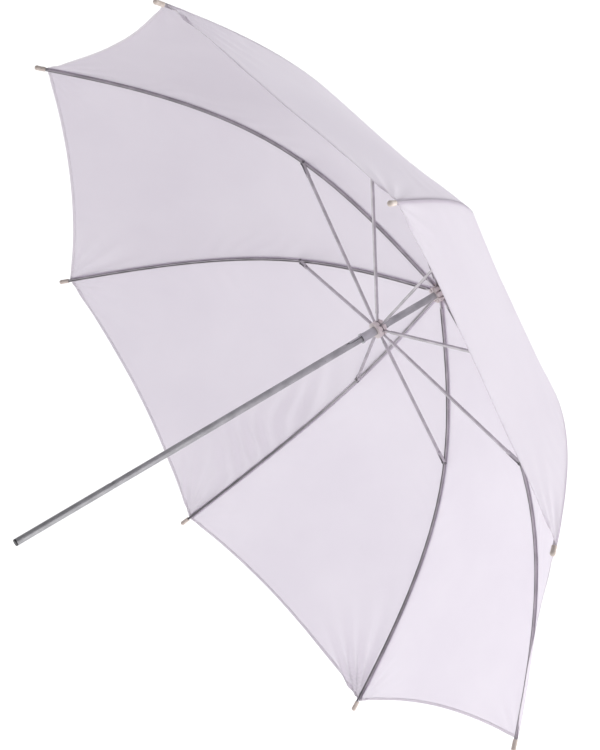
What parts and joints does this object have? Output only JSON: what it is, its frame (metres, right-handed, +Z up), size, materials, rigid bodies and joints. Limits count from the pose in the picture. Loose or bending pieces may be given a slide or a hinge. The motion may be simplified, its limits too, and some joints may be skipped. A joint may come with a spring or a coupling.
{
  "type": "photographic umbrella",
  "caption": "Folding white shoot-through studio umbrella: ribbed translucent canopy on a thin steel shaft with a sliding runner.",
  "frame": {"origin": "on the shaft's centre line at the face of its free end, where a clamp or bracket holds it", "axes": "+Y along the shaft toward the crown, +Z up and +X to the right as seen from the free end; the canopy opens toward -Y, and no rib is straight up: the first is 22.5 degrees right of +Z"},
  "size_m": [0.8584, 0.5957, 0.8584],
  "materials": {
    "shaft_steel": "satin plated tube",
    "small_steel": "bright spring and pin steel",
    "rib_steel": "grey plated channel",
    "tie_wire": "dark wire and rivets",
    "black_plastic": "matte",
    "notch_plastic": "satin cream plastic",
    "tip_plastic": "satin cream plastic",
    "canopy_nylon": "translucent white woven nylon"
  },
  "bodies": {
    "shaft_assembly": {"shaft": "shaft_steel", "end_plug": "black_plastic", "crown_notch": "notch_plastic", "crown_wire": "tie_wire", "cross_pins": "small_steel", "crown_washer": "notch_plastic", "top_cap": "notch_plastic", "catch_pin": "tie_wire"},
    "catch": {"catch_spring": "small_steel"},
    "runner_assembly": {"runner": "notch_plastic", "runner_sleeve": "small_steel", "runner_wire": "tie_wire"},
    "rib_1_assembly": {"rib_1": "rib_steel", "rib_tip_1": "tip_plastic", "rivet_1": "tie_wire"},
    "stretcher_1_body": {"stretcher_1": "rib_steel"},
    "panel_1a_body": {"panel_1a": "canopy_nylon"},
    "panel_1b_body": {"panel_1b": "canopy_nylon"},
    "rib_2_assembly": {"rib_2": "rib_steel", "rib_tip_2": "tip_plastic", "rivet_2": "tie_wire"},
    "stretcher_2_body": {"stretcher_2": "rib_steel"},
    "panel_2a_body": {"panel_2a": "canopy_nylon"},
    "panel_2b_body": {"panel_2b": "canopy_nylon"},
    "rib_3_assembly": {"rib_3": "rib_steel", "rib_tip_3": "tip_plastic", "rivet_3": "tie_wire"},
    "stretcher_3_body": {"stretcher_3": "rib_steel"},
    "panel_3a_body": {"panel_3a": "canopy_nylon"},
    "panel_3b_body": {"panel_3b": "canopy_nylon"},
    "rib_4_assembly": {"rib_4": "rib_steel", "rib_tip_4": "tip_plastic", "rivet_4": "tie_wire"},
    "stretcher_4_body": {"stretcher_4": "rib_steel"},
    "panel_4a_body": {"panel_4a": "canopy_nylon"},
    "panel_4b_body": {"panel_4b": "canopy_nylon"},
    "rib_5_assembly": {"rib_5": "rib_steel", "rib_tip_5": "tip_plastic", "rivet_5": "tie_wire"},
    "stretcher_5_body": {"stretcher_5": "rib_steel"},
    "panel_5a_body": {"panel_5a": "canopy_nylon"},
    "panel_5b_body": {"panel_5b": "canopy_nylon"},
    "rib_6_assembly": {"rib_6": "rib_steel", "rib_tip_6": "tip_plastic", "rivet_6": "tie_wire"},
    "stretcher_6_body": {"stretcher_6": "rib_steel"},
    "panel_6a_body": {"panel_6a": "canopy_nylon"},
    "panel_6b_body": {"panel_6b": "canopy_nylon"},
    "rib_7_assembly": {"rib_7": "rib_steel", "rib_tip_7": "tip_plastic", "rivet_7": "tie_wire"},
    "stretcher_7_body": {"stretcher_7": "rib_steel"},
    "panel_7a_body": {"panel_7a": "canopy_nylon"},
    "panel_7b_body": {"panel_7b": "canopy_nylon"},
    "rib_8_assembly": {"rib_8": "rib_steel", "rib_tip_8": "tip_plastic", "rivet_8": "tie_wire"},
    "stretcher_8_body": {"stretcher_8": "rib_steel"},
    "panel_8a_body": {"panel_8a": "canopy_nylon"},
    "panel_8b_body": {"panel_8b": "canopy_nylon"}
  },
  "joints": [
    {"name": "fold", "type": "hinge", "parent": "shaft_assembly", "child": "rib_1_assembly", "pos_m": [0.00306, 0.575, 0.00739], "axis": [0.9239, 0, -0.3827], "range_deg": [0, 58], "deforming": ["catch_spring", "panel_1a", "panel_1b", "panel_2a", "panel_2b", "panel_3a", "panel_3b", "panel_4a", "panel_4b", "panel_5a", "panel_5b", "panel_6a", "panel_6b", "panel_7a", "panel_7b", "panel_8a", "panel_8b"]},
    {"name": "stretcher_1_rivet", "type": "hinge", "parent": "rib_1_assembly", "child": "stretcher_1_body", "pos_m": [0.08201, 0.52971, 0.19799], "axis": [0.9239, 0, -0.3827], "range_deg": [-116, 0]},
    {"name": "runner_hinge", "type": "hinge", "parent": "stretcher_1_body", "child": "runner_assembly", "pos_m": [0.00306, 0.48441, 0.00739], "axis": [0.9239, 0, -0.3827], "range_deg": [0, 58]},
    {"name": "panel_1a_seam", "type": "hinge", "parent": "rib_1_assembly", "child": "panel_1a_body", "pos_m": [0.00612, 0.575, 0.00612], "axis": [-0.9697, -0.2367, -0.0605], "range_deg": [0, 28.04]},
    {"name": "panel_1b_seam", "type": "hinge", "parent": "rib_1_assembly", "child": "panel_1b_body", "pos_m": [0, 0.575, 0.00866], "axis": [-0.6429, 0.2367, 0.7285], "range_deg": [0, 28.04]},
    {"name": "rib_2_hinge", "type": "hinge", "parent": "shaft_assembly", "child": "rib_2_assembly", "pos_m": [0.00739, 0.575, 0.00306], "axis": [0.3827, 0, -0.9239], "range_deg": [0, 58]},
    {"name": "stretcher_2_rivet", "type": "hinge", "parent": "rib_2_assembly", "child": "stretcher_2_body", "pos_m": [0.19799, 0.52971, 0.08201], "axis": [0.3827, 0, -0.9239], "range_deg": [-116, 0]},
    {"name": "panel_2a_seam", "type": "hinge", "parent": "rib_2_assembly", "child": "panel_2a_body", "pos_m": [0.00866, 0.575, 0], "axis": [-0.7285, -0.2367, 0.6429], "range_deg": [0, 28.04]},
    {"name": "panel_2b_seam", "type": "hinge", "parent": "rib_2_assembly", "child": "panel_2b_body", "pos_m": [0.00612, 0.575, 0.00612], "axis": [0.0605, 0.2367, 0.9697], "range_deg": [0, 28.04]},
    {"name": "rib_3_hinge", "type": "hinge", "parent": "shaft_assembly", "child": "rib_3_assembly", "pos_m": [0.00739, 0.575, -0.00306], "axis": [-0.3827, 0, -0.9239], "range_deg": [0, 58]},
    {"name": "stretcher_3_rivet", "type": "hinge", "parent": "rib_3_assembly", "child": "stretcher_3_body", "pos_m": [0.19799, 0.52971, -0.08201], "axis": [-0.3827, 0, -0.9239], "range_deg": [-116, 0]},
    {"name": "panel_3a_seam", "type": "hinge", "parent": "rib_3_assembly", "child": "panel_3a_body", "pos_m": [0.00612, 0.575, -0.00612], "axis": [-0.0605, -0.2367, 0.9697], "range_deg": [0, 28.04]},
    {"name": "panel_3b_seam", "type": "hinge", "parent": "rib_3_assembly", "child": "panel_3b_body", "pos_m": [0.00866, 0.575, 0], "axis": [0.7285, 0.2367, 0.6429], "range_deg": [0, 28.04]},
    {"name": "rib_4_hinge", "type": "hinge", "parent": "shaft_assembly", "child": "rib_4_assembly", "pos_m": [0.00306, 0.575, -0.00739], "axis": [-0.9239, 0, -0.3827], "range_deg": [0, 58]},
    {"name": "stretcher_4_rivet", "type": "hinge", "parent": "rib_4_assembly", "child": "stretcher_4_body", "pos_m": [0.08201, 0.52971, -0.19799], "axis": [-0.9239, 0, -0.3827], "range_deg": [-116, 0]},
    {"name": "panel_4a_seam", "type": "hinge", "parent": "rib_4_assembly", "child": "panel_4a_body", "pos_m": [0, 0.575, -0.00866], "axis": [0.6429, -0.2367, 0.7285], "range_deg": [0, 28.04]},
    {"name": "panel_4b_seam", "type": "hinge", "parent": "rib_4_assembly", "child": "panel_4b_body", "pos_m": [0.00612, 0.575, -0.00612], "axis": [0.9697, 0.2367, -0.0605], "range_deg": [0, 28.04]},
    {"name": "rib_5_hinge", "type": "hinge", "parent": "shaft_assembly", "child": "rib_5_assembly", "pos_m": [-0.00306, 0.575, -0.00739], "axis": [-0.9239, 0, 0.3827], "range_deg": [0, 58]},
    {"name": "stretcher_5_rivet", "type": "hinge", "parent": "rib_5_assembly", "child": "stretcher_5_body", "pos_m": [-0.08201, 0.52971, -0.19799], "axis": [-0.9239, 0, 0.3827], "range_deg": [-116, 0]},
    {"name": "panel_5a_seam", "type": "hinge", "parent": "rib_5_assembly", "child": "panel_5a_body", "pos_m": [-0.00612, 0.575, -0.00612], "axis": [0.9697, -0.2367, 0.0605], "range_deg": [0, 28.04]},
    {"name": "panel_5b_seam", "type": "hinge", "parent": "rib_5_assembly", "child": "panel_5b_body", "pos_m": [0, 0.575, -0.00866], "axis": [0.6429, 0.2367, -0.7285], "range_deg": [0, 28.04]},
    {"name": "rib_6_hinge", "type": "hinge", "parent": "shaft_assembly", "child": "rib_6_assembly", "pos_m": [-0.00739, 0.575, -0.00306], "axis": [-0.3827, 0, 0.9239], "range_deg": [0, 58]},
    {"name": "stretcher_6_rivet", "type": "hinge", "parent": "rib_6_assembly", "child": "stretcher_6_body", "pos_m": [-0.19799, 0.52971, -0.08201], "axis": [-0.3827, 0, 0.9239], "range_deg": [-116, 0]},
    {"name": "panel_6a_seam", "type": "hinge", "parent": "rib_6_assembly", "child": "panel_6a_body", "pos_m": [-0.00866, 0.575, 0], "axis": [0.7285, -0.2367, -0.6429], "range_deg": [0, 28.04]},
    {"name": "panel_6b_seam", "type": "hinge", "parent": "rib_6_assembly", "child": "panel_6b_body", "pos_m": [-0.00612, 0.575, -0.00612], "axis": [-0.0605, 0.2367, -0.9697], "range_deg": [0, 28.04]},
    {"name": "rib_7_hinge", "type": "hinge", "parent": "shaft_assembly", "child": "rib_7_assembly", "pos_m": [-0.00739, 0.575, 0.00306], "axis": [0.3827, 0, 0.9239], "range_deg": [0, 58]},
    {"name": "stretcher_7_rivet", "type": "hinge", "parent": "rib_7_assembly", "child": "stretcher_7_body", "pos_m": [-0.19799, 0.52971, 0.08201], "axis": [0.3827, 0, 0.9239], "range_deg": [-116, 0]},
    {"name": "panel_7a_seam", "type": "hinge", "parent": "rib_7_assembly", "child": "panel_7a_body", "pos_m": [-0.00612, 0.575, 0.00612], "axis": [0.0605, -0.2367, -0.9697], "range_deg": [0, 28.04]},
    {"name": "panel_7b_seam", "type": "hinge", "parent": "rib_7_assembly", "child": "panel_7b_body", "pos_m": [-0.00866, 0.575, 0], "axis": [-0.7285, 0.2367, -0.6429], "range_deg": [0, 28.04]},
    {"name": "rib_8_hinge", "type": "hinge", "parent": "shaft_assembly", "child": "rib_8_assembly", "pos_m": [-0.00306, 0.575, 0.00739], "axis": [0.9239, 0, 0.3827], "range_deg": [0, 58]},
    {"name": "stretcher_8_rivet", "type": "hinge", "parent": "rib_8_assembly", "child": "stretcher_8_body", "pos_m": [-0.08201, 0.52971, 0.19799], "axis": [0.9239, 0, 0.3827], "range_deg": [-116, 0]},
    {"name": "panel_8a_seam", "type": "hinge", "parent": "rib_8_assembly", "child": "panel_8a_body", "pos_m": [0, 0.575, 0.00866], "axis": [-0.6429, -0.2367, -0.7285], "range_deg": [0, 28.04]},
    {"name": "panel_8b_seam", "type": "hinge", "parent": "rib_8_assembly", "child": "panel_8b_body", "pos_m": [-0.00612, 0.575, 0.00612], "axis": [-0.9697, 0.2367, 0.0605], "range_deg": [0, 28.04]},
    {"name": "catch_press", "type": "hinge", "parent": "shaft_assembly", "child": "catch", "pos_m": [0, 0.40441, 0.0023], "axis": [-1, 0, 0], "range_deg": [0, 3.6], "stiffness_Nm_per_rad": 2}
  ],
  "couplings": [
    {"joint": "stretcher_1_rivet", "follows": "fold", "ratio": -2},
    {"joint": "runner_hinge", "follows": "fold", "ratio": 1},
    {"joint": "panel_1a_seam", "follows": "fold", "ratio": 0.48335},
    {"joint": "panel_1b_seam", "follows": "fold", "ratio": 0.48335},
    {"joint": "rib_2_hinge", "follows": "fold", "ratio": 1},
    {"joint": "stretcher_2_rivet", "follows": "fold", "ratio": -2},
    {"joint": "panel_2a_seam", "follows": "fold", "ratio": 0.48335},
    {"joint": "panel_2b_seam", "follows": "fold", "ratio": 0.48335},
    {"joint": "rib_3_hinge", "follows": "fold", "ratio": 1},
    {"joint": "stretcher_3_rivet", "follows": "fold", "ratio": -2},
    {"joint": "panel_3a_seam", "follows": "fold", "ratio": 0.48335},
    {"joint": "panel_3b_seam", "follows": "fold", "ratio": 0.48335},
    {"joint": "rib_4_hinge", "follows": "fold", "ratio": 1},
    {"joint": "stretcher_4_rivet", "follows": "fold", "ratio": -2},
    {"joint": "panel_4a_seam", "follows": "fold", "ratio": 0.48335},
    {"joint": "panel_4b_seam", "follows": "fold", "ratio": 0.48335},
    {"joint": "rib_5_hinge", "follows": "fold", "ratio": 1},
    {"joint": "stretcher_5_rivet", "follows": "fold", "ratio": -2},
    {"joint": "panel_5a_seam", "follows": "fold", "ratio": 0.48335},
    {"joint": "panel_5b_seam", "follows": "fold", "ratio": 0.48335},
    {"joint": "rib_6_hinge", "follows": "fold", "ratio": 1},
    {"joint": "stretcher_6_rivet", "follows": "fold", "ratio": -2},
    {"joint": "panel_6a_seam", "follows": "fold", "ratio": 0.48335},
    {"joint": "panel_6b_seam", "follows": "fold", "ratio": 0.48335},
    {"joint": "rib_7_hinge", "follows": "fold", "ratio": 1},
    {"joint": "stretcher_7_rivet", "follows": "fold", "ratio": -2},
    {"joint": "panel_7a_seam", "follows": "fold", "ratio": 0.48335},
    {"joint": "panel_7b_seam", "follows": "fold", "ratio": 0.48335},
    {"joint": "rib_8_hinge", "follows": "fold", "ratio": 1},
    {"joint": "stretcher_8_rivet", "follows": "fold", "ratio": -2},
    {"joint": "panel_8a_seam", "follows": "fold", "ratio": 0.48335},
    {"joint": "panel_8b_seam", "follows": "fold", "ratio": 0.48335}
  ]
}
